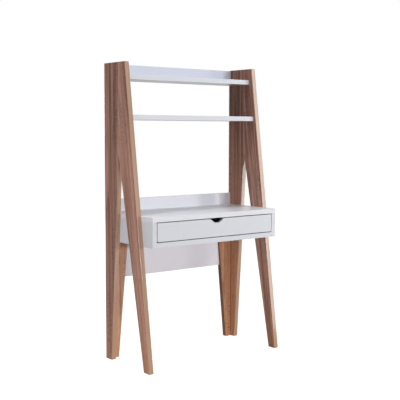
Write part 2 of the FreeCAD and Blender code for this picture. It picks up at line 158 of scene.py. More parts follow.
print("a finish is one Principled shader with layers on its sockets")

# %% Colours


def paint(red, green, blue):
    """Linear colour with alpha from the 0 to 255 values of a paint chart."""
    chart = np.array([red, green, blue]) / 255.0
    linear = np.where(chart <= 0.04045, chart / 12.92, ((chart + 0.055) / 1.055) ** 2.4)
    return (*linear.tolist(), 1.0)


def darker(tone, share):
    """A tone with its three parts times a share."""
    return tuple(share * part for part in tone[:3]) + (1.0,)


print("oak brown is", np.round(paint(150, 114, 98), 3).tolist())

# %% [markdown]
# ## The wood-grain laminate
#
# The print is a sawn grey-brown oak. Seen from a step away it is broad dark and light bands that
# run the length of a board. Closer there are streaks, arched growth rings, short pores and fine
# ticks across the grain from the saw. Each of these is one noise, stretched along the board. The
# boards carry a UV map in metres, across and along the grain, so that the print turns with a
# slanting leg and both faces of a board differ. The tone also changes with height: a painted shade
# darkens the top, and a painted warm light from the floor makes the feet golden. These read Object
# coordinates instead.

# %% Heights on a board


def above(finish, low, high):
    """0 below a height in metres, 1 above another, smooth between them."""
    place = finish.add("TexCoord", {}, {}, "Object")
    height = finish.add("SeparateXYZ", {}, {"Vector": place}, 2)
    return finish.step(height, low, high)


print("heights come from Object coordinates, in metres")

# %% Wood finish
STRIPS = 10.5
# Heights between which the painted shade at the top of the frames comes in.
TOP_SHADE_FROM, TOP_SHADE_TO = 0.95, 1.40


def wood_finish(name, light, dark, warmth, warm_light_gold, warm_light_top=0.3, warm_light_share=0.6):
    """Printed laminate from a light to a dark tone; warmth tints broad bands, and the gold is
    painted warm light at the feet.

    In each strip of the print the arches are sine waves of a x^2 + b y: x is the distance from the
    strip's middle and y the distance along the grain, with a start of its own for every strip.
    """
    wood = Finish(name, {"Specular IOR Level": 0.22})
    grain = wood.add("UVMap", {"uv_map": "grain"}, {})
    flat = {"noise_dimensions": "2D"}

    def print_layer(across, along, detail, shift, bend=0.0):
        """Noise with a number of waves to the metre across and along the grain."""
        place = wood.stretched(grain, (across, along, 1.0), (shift, shift, 0.0))
        return wood.noise(place, detail, flat, bend)

    bands = wood.step(print_layer(24.0, 0.55, 2.0, 3.1, 0.4), 0.36, 0.64)
    tint = wood.step(print_layer(12.0, 0.9, 1.0, 7.7), 0.35, 0.65)
    streaks = wood.step(print_layer(62.0, 1.3, 3.0, 11.3), 0.38, 0.64)
    fibres = print_layer(520.0, 9.0, 2.0, 5.9)
    pores = wood.step(print_layer(400.0, 22.0, 1.0, 1.7), 0.58, 0.70)
    sawn = wood.step(print_layer(46.0, 88.0, 1.0, 9.2), 0.52, 0.62)
    patches = wood.step(print_layer(13.0, 1.7, 1.0, 4.3), 0.53, 0.62)
    middle = print_layer(34.0, 0.45, 1.0, 15.7, 0.3) - 0.5
    veins = 1.0 - wood.step(wood.add("Math", {"operation": "ABSOLUTE"}, {0: middle}), 0.0, 0.03)

    strips = wood.add("SeparateXYZ", {}, {"Vector": grain}, 0) * STRIPS
    along = wood.add("SeparateXYZ", {}, {"Vector": grain}, 1)
    strip = wood.add("Math", {"operation": "FLOOR"}, {0: strips})
    x = strips - strip - 0.5
    start = wood.add("TexWhiteNoise", {"noise_dimensions": "1D"}, {"W": strip})
    phase = x * x * 9.0 + along * 3.2 + start * 7.0 + print_layer(9.0, 1.6, 2.0, 21.0) * 1.8
    waves = wood.add("Math", {"operation": "SINE"}, {0: phase * (2.0 * math.pi)})
    figure = wood.step(print_layer(8.0, 1.0, 1.0, 27.4), 0.42, 0.60)
    arches = wood.step(waves, -0.2, 0.9) * figure

    body = wood.mix(tint * 0.6, light, warmth)
    # Painted shade: the print darkens towards the top of the frames.
    top_shade = above(wood, TOP_SHADE_FROM, TOP_SHADE_TO)
    shade = bands * 0.42 + streaks * 0.34 + arches * 0.22 + top_shade * 0.32
    body = wood.mix(shade, body, dark)
    # Painted warm light: the board turns golden near the floor, and fades out higher up.
    body = wood.mix((1.0 - above(wood, 0.0, warm_light_top)) * warm_light_share, body, warm_light_gold)
    marks = veins * 0.36 + pores * 0.24 + sawn * patches * 0.28 + fibres * 0.14
    wood.colour(wood.mix(marks, body, darker(dark, 0.40)))
    wood.roughness(0.46 + fibres * 0.12 + pores * 0.10)
    wood.raise_surface(fibres * 0.5 - pores - sawn * patches * 0.5, 0.00012)
    return wood.material


print("the print has", STRIPS, "strips to the metre")

# %% [markdown]
# ## Tones of the boards
#
# One print covers all six boards of the side frames. The posts are darker than the legs, and the
# boards behind the knees are the warmest, partly by painted warm bounce light under the desk. The
# left return is lighter, a painted light, and the right return darker, a painted shade. Tones could
# be painted by hand, but three chart colours for each kind of board, and a gold of painted warm
# light for its foot, are enough to mix the rest.

# %% Wood tones
# Golds of painted warm light for the lower part of the boards.
WARM_LIGHT_TONE, PALE_WARM_LIGHT_TONE = paint(198, 142, 105), paint(224, 166, 126)
POST_TONES = paint(204, 157, 140), paint(108, 73, 62), paint(190, 137, 118)
LEG_TONES = paint(223, 175, 157), paint(136, 95, 82), paint(218, 163, 142)
# The two returns are one print: the left is lighter, a painted light, and the right darker, a
# painted shade.
LIT_LEFT_RETURN_TONES = paint(244, 196, 164), paint(172, 124, 96), paint(238, 180, 144)
SHADED_RIGHT_RETURN_TONES = paint(224, 172, 138), paint(140, 96, 70), paint(216, 156, 120)

post_wood = {
    "left": wood_finish("post_wood", *POST_TONES, WARM_LIGHT_TONE),
    # The right post is golden from the floor and fading up to 1.2 m, a painted warm light.
    "right": wood_finish("right_post_wood", *POST_TONES, PALE_WARM_LIGHT_TONE, warm_light_top=1.2, warm_light_share=0.88),
}
leg_wood = wood_finish("leg_wood", *LEG_TONES, WARM_LIGHT_TONE)
return_wood = {
    "left": wood_finish("left_return_wood", *LIT_LEFT_RETURN_TONES, PALE_WARM_LIGHT_TONE),
    "right": wood_finish("right_return_wood", *SHADED_RIGHT_RETURN_TONES, PALE_WARM_LIGHT_TONE),
}
woods = [*post_wood.values(), leg_wood, *return_wood.values()]
print("wood finishes:", [wood.name for wood in woods])

# %% [markdown]
# ## The edge band
#
# The cut edges of the boards are closed with a thin strip of the same print in a paler tone. Its
# lines run along the edge, and it is a little smoother than the faces, so the edges that face the
# lamp shine. Near the floor the strip turns golden, a painted warm light. The boards behind the
# knees have a dull strip instead, whose dark tone is painted shade.

# %% Edge band finish


def band_finish(name, light, dark, warm_light_gold, shine, gloss):
    """Strip with fine lines along the grain, golden at the floor by a painted warm light."""
    band = Finish(name, {"Specular IOR Level": shine})
    grain = band.add("UVMap", {"uv_map": "grain"}, {})
    flat = {"noise_dimensions": "2D"}
    broad = band.noise(band.stretched(grain, (70.0, 1.3, 1.0)), 2.0, flat)
    fine = band.noise(band.stretched(grain, (480.0, 6.0, 1.0)), 2.0, flat)
    lines = band.step(broad, 0.35, 0.68) * 0.55 + fine * 0.35
    body = band.mix(lines, light, dark)
    # Painted warm light: the strip turns golden near the floor.
    band.colour(band.mix((1.0 - above(band, 0.0, 0.6)) * 0.6, body, warm_light_gold))
    band.roughness(gloss + fine * 0.05)
    band.raise_surface(fine, 0.00001)
    return band.material


# Light, dark and a gold of painted warm light near the floor. The dull strip's dark tones are
# painted shade.
PALE_TONES = paint(195, 157, 131), paint(164, 125, 98), paint(192, 139, 97)
SHADED_BAND_TONES = paint(112, 78, 62), paint(78, 54, 44), paint(176, 128, 98)
edge_band = band_finish("edge_band", *PALE_TONES, shine=0.8, gloss=0.10)
shaded_band = band_finish("shaded_band", *SHADED_BAND_TONES, shine=0.15, gloss=0.45)
print("edge bands:", edge_band.name, shaded_band.name)

# %% [markdown]
# ## Boards as swept edges
#
# A board is a flat outline with a thickness. A sharp box has no highlight on its edges, so each
# board is made as a rounded edge profile carried round its outline, closed by the two flat faces.
# The profile starts on one face, turns through a quarter circle, runs down the edge and turns again
# to the other face. The whole surface is one array of rings.

# %% Outlines
EDGE_ROUND = 0.0012
CORNER_ROUND = 0.0022
ROUND_STEPS = 5


def edge_normals(outline):
    """Inward unit normals of a counter-clockwise outline's edges; edge i starts at point i."""
    run = np.roll(outline, -1, axis=0) - outline
    run /= np.linalg.norm(run, axis=1, keepdims=True)
    return np.stack([-run[:, 1], run[:, 0]], axis=1)


def inset(outline, distance):
    """Outline moved inwards: each point goes along the bisector of its two edge normals."""
    after = edge_normals(outline)
    before = np.roll(after, 1, axis=0)
    reach = 1.0 + np.sum(before * after, axis=1, keepdims=True)
    return outline + distance * (before + after) / reach


def rounded_outline(corners, radius):
    """Convex outline with an arc at each corner: centre minus radius times a turning normal.

    A point on each straight edge just past the arc keeps the shading of the edge flat.
    """
    corners = np.asarray(corners, float)
    after = edge_normals(corners)
    before = np.roll(after, 1, axis=0)
    centres = inset(corners, radius)
    share = np.linspace(0.0, 1.0, ROUND_STEPS)[None, :, None]
    normals = before[:, None] * (1.0 - share) + after[:, None] * share
    normals /= np.linalg.norm(normals, axis=2, keepdims=True)
    arcs = centres[:, None] - radius * normals
    ahead = 0.5 * radius * np.stack([normals[..., 1], -normals[..., 0]], axis=-1)
    start, end = arcs[:, :1] - ahead[:, :1], arcs[:, -1:] + ahead[:, -1:]
    return np.concatenate([start, arcs, end], axis=1).reshape(-1, 2)


print("corner rounding:", CORNER_ROUND * 1000, "mm")

# %% Swept edges
PAST_ROUND = 1.3


def edge_rings(outline, low, high, radius):
    """Rings (a, b, t) of the swept edge: inset = r - r sin f and t = r - r cos f on each rounding.

    One more ring just past each rounding keeps the shading of the edge between them flat.
    """
    turn = np.linspace(0.0, math.pi / 2, ROUND_STEPS)
    insets = np.append(radius * (1.0 - np.sin(turn)), 0.0)
    rises = np.append(radius * (1.0 - np.cos(turn)), radius * PAST_ROUND)
    rows = list(zip(insets, low + rises)) + list(zip(insets[::-1], high - rises[::-1]))
    rings = [np.column_stack([inset(outline, d), np.full(len(outline), t)]) for d, t in rows]
    return np.stack(rings)


def grid_faces(rows, columns, loop=False):
    """Quads between neighbouring rings of a grid; with loop the last ring joins the first."""
    index = np.arange(rows * columns).reshape(rows, columns)
    here, there = index, np.roll(index, -1, 0)
    if not loop:
        here, there = here[:-1], there[:-1]
    quads = np.stack([here, np.roll(here, -1, 1), np.roll(there, -1, 1), there], axis=-1)
    return quads.reshape(-1, 4)


print("edge rounding:", EDGE_ROUND * 1000, "mm")

# %% Put a surface into a mesh


def outward(points, faces):
    """Faces turned so that the enclosed volume, a sum of tetrahedra, is positive."""
    quads = points[np.asarray(faces)]
    first, second, third, fourth = (quads[:, corner] for corner in range(4))
    volume = np.einsum("ij,ij->i", first, np.cross(second, third)).sum()
    volume += np.einsum("ij,ij->i", first, np.cross(third, fourth)).sum()
    return volume > 0


def add_piece(name, points, faces, body, materials):
    """New piece with smooth faces that rides on a body and takes a slot's finish."""
    mesh = bpy.data.meshes.new(name)
    mesh.from_pydata(points.tolist(), [], faces)
    mesh.update()
    piece = bpy.data.objects.new(name, mesh)
    bpy.context.scene.collection.objects.link(piece)
    for material in materials:
        mesh.materials.append(material)
    mesh.polygons.foreach_set("use_smooth", np.ones(len(mesh.polygons), bool))
    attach(piece, body)
    return piece


print("pieces are smooth, ride on a body and take a slot's finish")

# %% Boards with a grain map
OTHER_FACE = 1.37


def sweep_board(name, rings, place, along, body, materials, shift):
    """Board from its rings, with flat faces, a grain map and edge faces in the second finish.

    place turns (a, b, t) into X, Y, Z; along is the grain's direction in the outline's plane.
    """
    count, around, _ = rings.shape
    flat = rings.reshape(-1, 3)
    points = place(flat)
    quads = grid_faces(count, around)
    caps = [np.arange(around)[::-1], np.arange(around) + (count - 1) * around]
    if not outward(points, quads):
        quads = quads[:, ::-1]
        caps = [cap[::-1] for cap in caps]
    faces = quads.tolist() + [cap.tolist() for cap in caps]
    piece = add_piece(name, points, faces, body, materials)
    mesh = piece.data
    flags = np.ones(len(faces), bool)
    flags[-2:] = False
    mesh.polygons.foreach_set("use_smooth", flags)
    if len(materials) > 1:
        mesh.polygons.foreach_set("material_index", flags.astype(np.int32))
    along = np.asarray(along, float) / np.linalg.norm(along)
    across = np.array([along[1], -along[0]])
    corners = np.concatenate([np.asarray(face) for face in faces])
    u = flat[corners, :2] @ across + flat[corners, 2] + shift
    v = flat[corners, :2] @ along + shift
    u[-around:] += OTHER_FACE
    mesh.uv_layers.new(name="grain")
    mesh.uv_layers["grain"].data.foreach_set("uv", np.column_stack([u, v]).ravel())
    return piece


def from_side(values):
    """Outline in (y, z) with the thickness along x."""
    return values[:, [2, 0, 1]]


def from_front(values):
    """Outline in (x, z) with the thickness along y."""
    return values[:, [0, 2, 1]]


print("the far face of a board shows the print", OTHER_FACE, "m further on")

# %% [markdown]
# ## The six boards of the side frames
#
# Each frame is a rear post with a vertical back edge, a slanting front leg and a short board behind
# the knees that makes the rear leg an L. Post and leg meet on a vertical seam above the fork. The
# grain of the post is upright and that of the leg follows its front edge.

# %% Corners of the side frames
OUTER, BOARD = 0.425, 0.025
INNER = OUTER - BOARD
BACK_Y = 0.198
FOOT, TOP = 0.002, 1.520
SEAM, FORK = 0.130, 1.064
TOE, HEEL, POST_TOE, CREST = 0.396, 0.347, 0.054, 0.190
DESK_BOTTOM = 0.615
RETURN_FOOT, RETURN_HEAD = 0.038, 0.096


def depths(*corners):
    """(y, z) corners from (depth behind the back edge, height) pairs."""
    return np.array([(BACK_Y - depth, height) for depth, height in corners])


post_corners = depths((SEAM, FORK), (POST_TOE, FOOT), (0, FOOT), (0, TOP), (SEAM, TOP))
leg_corners = depths((SEAM, FORK), (SEAM, TOP), (CREST, TOP), (TOE, FOOT), (HEEL, FOOT))
leg_slope = (TOE - CREST, TOP - FOOT)
print("post corners:", len(post_corners), "leg corners:", len(leg_corners))

# %% Boards of the side frames
UPRIGHT = (0, 1)
PRINT_STARTS = {"left": (2.3, 4.7, 8.9), "right": (7.4, 11.0, 12.6)}


def counter_clockwise(corners):
    """The same corners with the outline's area positive."""
    after = np.roll(corners, -1, axis=0)
    area = np.sum(corners[:, 0] * after[:, 1] - after[:, 0] * corners[:, 1])
    return corners if area > 0 else corners[::-1]


def frame_board(node, corners, place, low, high, along, finishes, shift):
    """One wooden board, in the finishes of its faces and edges, in place of its CAD node."""
    outline = rounded_outline(counter_clockwise(corners), CORNER_ROUND)
    rings = edge_rings(outline, low, high, EDGE_ROUND)
    name = node + "_skin"
    piece = sweep_board(name, rings, place, along, "frame", finishes, shift)
    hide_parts(node)
    low_cad, high_cad = (np.array(corner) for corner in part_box(node))
    verts = np.array([vertex.co for vertex in piece.data.vertices])
    gap = max(np.abs(verts.min(0) - low_cad).max(), np.abs(verts.max(0) - high_cad).max())
    print(node, "differs from its CAD box by", round(gap * 1000, 3), "mm")


def return_corners(sign):
    """(x, z) corners of the tapered board behind the knees, on one side."""
    inner = [(0, FOOT), (RETURN_FOOT, FOOT), (RETURN_HEAD, DESK_BOTTOM), (0, DESK_BOTTOM)]
    return np.array([(sign * (INNER - reach), height) for reach, height in inner])


for side, sign, low in (("left", -1, -OUTER), ("right", 1, INNER)):
    across, behind = (low, low + BOARD), (BACK_Y - BOARD, BACK_Y)
    post, leg = [post_wood[side], edge_band], [leg_wood, edge_band]
    back, corners = [return_wood[side], shaded_band], return_corners(sign)
    post_start, leg_start, return_start = PRINT_STARTS[side]
    frame_board(side + "_rear_post", post_corners, from_side, *across, UPRIGHT, post, post_start)
    frame_board(side + "_front_leg", leg_corners, from_side, *across, leg_slope, leg, leg_start)
    frame_board(side + "_leg_return", corners, from_front, *behind, UPRIGHT, back, return_start)

# %% [markdown]
# ## White laminate
#
# Shelves, back, desk box and drawer are white satin laminate. White is never quite even: the sheet
# has a faint orange-peel surface, and its gloss varies a little. Object coordinates are enough,
# because the surface has no direction. The undersides of the two shelves carry a grey painted
# shade, which is told from the white by its height alone.

# %% White finishes
# Grey of the painted shade on the shelves' undersides, and the height over which it fades.
UNDERSIDE_SHADE = paint(165, 166, 173)
UNDERSIDE_SHADE_EDGE = 0.0004
TOP_UNDERSIDE, MIDDLE_UNDERSIDE = 1.4341, 1.2341


def white_finish(name, tone, gloss, peel, underside=0.0):
    """Satin white sheet with orange peel, peel metres deep, and a grey painted shade at an
    underside's height.
    """
    sheet = Finish(name, {"Specular IOR Level": 0.5})
    place = sheet.add("TexCoord", {}, {}, "Object")
    clouds = sheet.noise(sheet.stretched(place, (7.0, 7.0, 7.0)), 2.0)
    grit = sheet.noise(sheet.stretched(place, (520.0, 520.0, 520.0)), 2.0)
    body = sheet.mix(clouds * 0.7 + grit * 0.1, tone, darker(tone, 0.95))
    # Painted shade: grey on a shelf's underside, at and below the given height.
    sheet.colour(sheet.mix(above(sheet, underside, underside + UNDERSIDE_SHADE_EDGE), UNDERSIDE_SHADE, body))
    sheet.roughness(gloss + clouds * 0.08)
    sheet.raise_surface(grit, peel)
    return sheet.material


white_sheet = white_finish("white_sheet", paint(227, 230, 238), 0.28, 0.00004)
# The matt sheet is lighter and bluer, a painted light, and also duller. The panel sheet's lilac is
# painted bounce light from the wood. The top shelf's sheet is a little darker and the rail's darker
# still, a painted shade.
lit_matt_sheet = white_finish("lit_matt_sheet", paint(240, 242, 250), 0.33, 0.00002)
bounce_lit_panel_sheet = white_finish("bounce_lit_panel_sheet", paint(235, 233, 243), 0.46, 0.00002)
top_sheet = white_finish("top_sheet", paint(224, 227, 236), 0.28, 0.00004, TOP_UNDERSIDE)
middle_sheet = white_finish("middle_sheet", paint(227, 230, 238), 0.28, 0.00004, MIDDLE_UNDERSIDE)
shaded_rail_sheet = white_finish("shaded_rail_sheet", paint(210, 214, 228), 0.34, 0.00004)
thin_sheet = white_finish("thin_sheet", paint(222, 221, 219), 0.42, 0.00008)
print("white finishes:", white_sheet.name, lit_matt_sheet.name, bounce_lit_panel_sheet.name, thin_sheet.name)
print("shelf and rail finishes:", top_sheet.name, middle_sheet.name, shaded_rail_sheet.name)

# %% [markdown]
# ## The drawer front
#
# The front is inset in the desk box and has no handle: a scoop is cut from the middle of its upper
# edge. The outline is a rectangle whose upper side dips, with an arc where the scoop's floor meets
# each slanting side. The same swept edge as on the boards then rounds it, also inside the scoop.

# %% Drawer front with its finger scoop
FRONT_HALF, FRONT_LOW, FRONT_HIGH = 0.371, 0.644, 0.736
FRONT_FACE, FRONT_REAR = -0.193, -0.177
SCOOP_TOP, SCOOP_FLOOR, SCOOP_DROP = 0.044, 0.017, 0.020
SCOOP_ROUND, SCOOP_LIP, SCOOP_STEPS = 0.014, 0.004, 8
FRONT_EDGE = 0.0010
LEVEL = (1, 0)


def scoop_line(count):
    """Points of the scoop from right to left: lip, side, arc, floor, and the same in reverse.

    Each arc is its centre plus a radius times the sine and cosine of an angle, which turns from
    the level floor or edge to the side's slope.
    """
    slope = math.atan2(SCOOP_DROP, SCOOP_TOP - SCOOP_FLOOR)
    tangent = SCOOP_ROUND * math.tan(slope / 2)
    turn = np.linspace(slope, 0.0, count)
    floor = FRONT_HIGH - SCOOP_DROP
    x = SCOOP_FLOOR - tangent + SCOOP_ROUND * np.sin(turn)
    z = floor + SCOOP_ROUND * (1.0 - np.cos(turn))
    arc = np.column_stack([x, z])
    reach = SCOOP_LIP * math.tan(slope / 2)
    lip_x = SCOOP_TOP + reach - SCOOP_LIP * np.sin(turn[::-1])
    lip_z = FRONT_HIGH - SCOOP_LIP * (1.0 - np.cos(turn[::-1]))
    side = np.concatenate([np.column_stack([lip_x, lip_z]), arc])
    return np.concatenate([side, side[::-1] * (-1.0, 1.0)])


plate_corners = np.array([(-1, FRONT_LOW), (1, FRONT_LOW), (1, FRONT_HIGH), (-1, FRONT_HIGH)])
plate_corners = plate_corners * (FRONT_HALF, 1)
plate = rounded_outline(plate_corners, CORNER_ROUND).reshape(4, -1, 2)
front_outline = np.concatenate([*plate[:3], scoop_line(SCOOP_STEPS), plate[3]])
front_rings = edge_rings(front_outline, FRONT_FACE, FRONT_REAR, FRONT_EDGE)
drawer_front = sweep_board(
    "drawer_front_skin", front_rings, from_front, LEVEL,
    "drawer", [white_sheet], shift=0.0,
)
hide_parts("drawer_front")
print("drawer front:", len(drawer_front.data.polygons), "faces")

# %% [markdown]
# ## Metal, nylon and beech
#
# Hidden hardware shows when the drawer is open or the desk is seen from below. The runners are
# powder-coated sheet, the rollers are moulded nylon, and cams and screws are plated metal with the
# small cloudiness of zinc.

# %% Cloudy metal and raw beech


def cloudy_finish(name, tone, gloss, metal, waves, depth):
    """Coated, plated or moulded surface with fine clouds, so many waves to the metre."""
    coat = Finish(name, {"Metallic": metal})
    place = coat.add("TexCoord", {}, {}, "Object")
    clouds = coat.noise(coat.stretched(place, (waves, waves, waves)), 3.0)
    coat.colour(coat.mix(clouds, tone, darker(tone, 0.82)))
    coat.roughness(gloss + clouds * 0.16)
    coat.raise_surface(clouds, depth)
    return coat.material


def raw_wood_finish(name, light, dark):
    """Unfinished beech with short flecks along its upright grain."""
    beech = Finish(name, {"Specular IOR Level": 0.3})
    place = beech.add("TexCoord", {}, {}, "Object")
    lines = beech.noise(beech.stretched(place, (500.0, 500.0, 18.0)), 3.0)
    beech.colour(beech.mix(lines, light, dark))
    beech.roughness(0.55 + lines * 0.2)
    beech.raise_surface(lines, 0.0001)
    return beech.material


print("clouds darken a tone to 82 percent")

# %% Hardware finishes
# Slot, tone, gloss, metal, waves to the metre, depth of the clouds in metres.
CLOUDY = [
    ("runner_paint", paint(226, 226, 222), 0.38, 0.0, 700.0, 0.00004),
    ("roller_nylon", paint(232, 231, 226), 0.36, 0.0, 160.0, 0.00002),
    ("cam_zinc", paint(198, 199, 200), 0.32, 1.0, 900.0, 0.00003),
    ("fastener_steel", paint(206, 207, 210), 0.24, 1.0, 600.0, 0.00002),
    ("glide_plastic", paint(86, 72, 62), 0.45, 0.0, 500.0, 0.00005),
]
hardware = {"white_laminate": white_sheet, "thin_board": thin_sheet}
hardware["beech"] = raw_wood_finish("beech", paint(222, 194, 152), paint(186, 150, 108))
for settings in CLOUDY:
    hardware[settings[0]] = cloudy_finish(*settings)
print("hardware finishes:", sorted(hardware))

# %% [markdown]
# ## Turned shapes
#
# Rollers, axles and foot glides are turned: a profile of (radius, height) pairs is carried round an
# axis. A bored roller's profile is a loop. A rod's profile is open, with a flat end on each side.
# One surface is worked out round the origin and then set down wherever the desk has such a piece.

# %% Turned surfaces
TURN_STEPS = 48
SIGNS = (-1, 1)
SHARP = math.radians(35.0)


def turned_rings(profile):
    """Rings of a turned surface: (r cos a, r sin a, t) for each pair (r, t) and each angle a."""
    angle = np.linspace(0.0, 2.0 * math.pi, TURN_STEPS, endpoint=False)
    radius, rise = np.asarray(profile, float).T
    wave = np.stack([np.cos(angle), np.sin(angle)], axis=-1)
    flat = radius[:, None, None] * wave
    height = np.broadcast_to(rise[:, None, None], flat.shape[:2] + (1,))
    return np.concatenate([flat, height], axis=-1)


def set_down(points, centre, axis):
    """Points (a, b, t) moved to a centre, with t along the axis and a, b square to it."""
    lengthwise = np.asarray(axis, float)
    aside = np.cross((0.0, 1.0, 0.0), lengthwise)
    upward = np.cross(lengthwise, aside)
    return np.asarray(centre, float) + points @ np.stack([aside, upward, lengthwise])


def turned_piece(name, rings, loop, places, body, slot, nodes_replaced):
    """The same turned surface at each (centre, axis), as one piece in a slot's finish."""
    count, around, _ = rings.shape
    one = rings.reshape(-1, 3)
    quads = grid_faces(count, around, loop)
    caps = np.stack([np.arange(around)[::-1], np.arange(around) + (count - 1) * around])
    if not outward(one, quads):
        quads, caps = quads[:, ::-1], caps[:, ::-1]
    points = np.concatenate([set_down(one, *place) for place in places])
    starts = len(one) * np.arange(len(places))
    faces = (quads + starts[:, None, None]).reshape(-1, 4).tolist()
    if not loop:
        faces += (caps + starts[:, None, None]).reshape(-1, around).tolist()
    piece = add_piece(name, points, faces, body, [hardware[slot]])
    piece.data.set_sharp_from_angle(angle=SHARP)
    if nodes_replaced:
        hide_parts(*nodes_replaced)
    print(name, "at", len(places), "places,", len(faces), "faces")


print("turned shapes have", TURN_STEPS, "steps round")

# %% [markdown]
# ## Rollers, axles and glides
#
# A drawer roller is moulded nylon with a slightly crowned rim, so that it runs on its middle, and a
# pocket in each side that saves material round the hub. The axle is riveted into the runner: a
# collar, a plain part under the roller and a rounded head. Front rollers turn on the desk's runners
# and rear rollers on the drawer's.

# %% Rollers
ROLLER_X, AXLE_Z = 0.3691, 0.6593
FRONT_AXLE_Y, REAR_AXLE_Y = -0.161, 0.158
BORE, HUB, POCKET, RIM, CROWN = 0.00305, 0.0051, 0.0081, 0.0098, 0.0100
HALF_WIDE, POCKET_DEPTH = 0.0025, 0.0011

half_roller = [
    (BORE, HALF_WIDE),
    (HUB, HALF_WIDE),
    (HUB + 0.0003, HALF_WIDE - POCKET_DEPTH),
    (POCKET, HALF_WIDE - POCKET_DEPTH),
    (POCKET + 0.0004, HALF_WIDE),
    (RIM - 0.0006, HALF_WIDE),
    (RIM - 0.0001, HALF_WIDE - 0.0003),
    (RIM + 0.0001, HALF_WIDE - 0.0009),
    (CROWN, 0.0005),
]
roller_profile = half_roller + [(radius, -rise) for radius, rise in half_roller[::-1]]
roller_rings = turned_rings(roller_profile)
for end, y in (("front", FRONT_AXLE_Y), ("rear", REAR_AXLE_Y)):
    for side, sign in (("left", -1), ("right", 1)):
        node = side + "_" + end + "_roller"
        place = [((sign * ROLLER_X, y, AXLE_Z), (1, 0, 0))]
        turned_piece(node + "_skin", roller_rings, True, place, node, "roller_nylon", [node])

# %% Axles
FIXED_FACE_X, DRAWER_FACE_X = 0.3738, 0.3632


def axle_profile(collar):
    """Collar, running part and a head with a rounded rim and a small dimple."""
    run, head, shaft, end = collar + 0.0054, 0.0044, 0.0030, collar + 0.0062
    rim = [(head, run), (head, end - 0.0004), (head - 0.0002, end - 0.0001), (head - 0.0006, end)]
    dimple = [(0.0014, end), (0.0010, end - 0.0003), (0.0003, end - 0.0004)]
    return [(head, 0.0), (head, collar), (shaft, collar), (shaft, run)] + rim + dimple


for node, body, face_x, y, collar, facing in (
    ("fixed_axles", "frame", FIXED_FACE_X, FRONT_AXLE_Y, 0.0020, -1),
    ("drawer_axles", "drawer", DRAWER_FACE_X, REAR_AXLE_Y, 0.0032, 1),
):
    places = [((sign * face_x, y, AXLE_Z), (sign * facing, 0, 0)) for sign in SIGNS]
    axle_rings = turned_rings(axle_profile(collar))
    turned_piece(node + "_skin", axle_rings, False, places, body, "fastener_steel", [node])

# %% Foot glides
GLIDE, GLIDE_HIGH, GLIDE_ROUND = 0.009, 0.002, 0.0009
quarter = np.linspace(0.0, math.pi / 2, 6)
sole = GLIDE_ROUND * (1.0 - np.cos(quarter[::-1]))
lift = GLIDE_ROUND * (1.0 - np.sin(quarter[::-1]))
glide_profile = [(GLIDE * 0.5, 0.0)] + list(zip(GLIDE - sole, lift)) + [(GLIDE, GLIDE_HIGH)]
glide_spots = [(0.4125, 0.171), (0.4125, -0.1735), (0.381, 0.1855)]
glide_rings = turned_rings(glide_profile)
places = [((sign * x, y, 0.0), (0, 0, 1)) for x, y in glide_spots for sign in SIGNS]
turned_piece(
    "foot_glides_skin", glide_rings, False, places, "frame", "glide_plastic", ["foot_glides"]
)

# %% [markdown]
# ## Cams and screw heads
#
# The shelves and the desk box are pulled together by cams, which are turned with a screwdriver from
# below or from inside. A cam's face is a height over a round grid: flat, with a fine groove inside
# the rim and a cross pressed into it. The same surface with a dome is the head of a runner screw.

# %% Faces with a cross recess
FACE_STEPS, HUB_SHARE = 26, 0.04
GROOVE_AT, GROOVE_HALF = 0.84, 0.05


def recessed_rings(radius, wall, dome, reach, half, depth, groove):
    """Round face from its middle out: t = dome (1 - (r / R)^2) - depth cross - rim groove.

    The cross is 1 inside four arms of half width half that end at reach, with sloping sides, and
    the wall goes straight down from the rim.
    """
    steps = np.linspace(HUB_SHARE, 1.0, FACE_STEPS)
    rows = turned_rings(np.column_stack([steps * radius, np.zeros(FACE_STEPS)]))
    a, b = np.abs(rows[..., 0]), np.abs(rows[..., 1])
    slope = 0.3 * half

    def arm(lengthwise, sideways):
        """1 inside one arm, falling to 0 over the slope at its end and its sides."""
        end = np.clip((reach - lengthwise) / slope, 0, 1)
        return end * np.clip((half - sideways) / slope + 0.5, 0, 1)

    cross = np.maximum(arm(a, b), arm(b, a))
    share = np.hypot(a, b) / radius
    ring = np.clip(1.0 - np.abs(share - GROOVE_AT) / GROOVE_HALF, 0, 1)
    rows[..., 2] = dome * (1.0 - share**2) - depth * cross - groove * ring
    low = rows[-1:] - (0.0, 0.0, wall)
    return np.concatenate([rows, low])


print("a recessed face has", FACE_STEPS, "rings")

# %% Cams
CAM_RADIUS, CAM_DEEP = 0.00745, 0.008
cam_rings = recessed_rings(
    CAM_RADIUS, CAM_DEEP, dome=0.0, reach=0.0044, half=0.0011, depth=0.0016, groove=0.00025
)
shelf_spots = [(0.374, 0.133, 1.234), (0.374, 0.028, 1.234), (0.374, 0.047, 1.434)]
shelf_cams = [((sign * x, y, z), (0, 0, -1)) for x, y, z in shelf_spots for sign in SIGNS]
turned_piece(
    "shelf_cams_skin", cam_rings, False, shelf_cams, "frame", "cam_zinc", ["shelf_cam_locks"]
)
desk_cams = [((sign * 0.375, -0.133, 0.714), (-sign, 0, 0)) for sign in SIGNS]
desk_cams += [((sign * 0.349, -0.043, 0.615), (0, 0, -1)) for sign in SIGNS]
turned_piece(
    "desk_cams_skin", cam_rings, False, desk_cams, "frame", "cam_zinc", ["desk_cam_locks"]
)

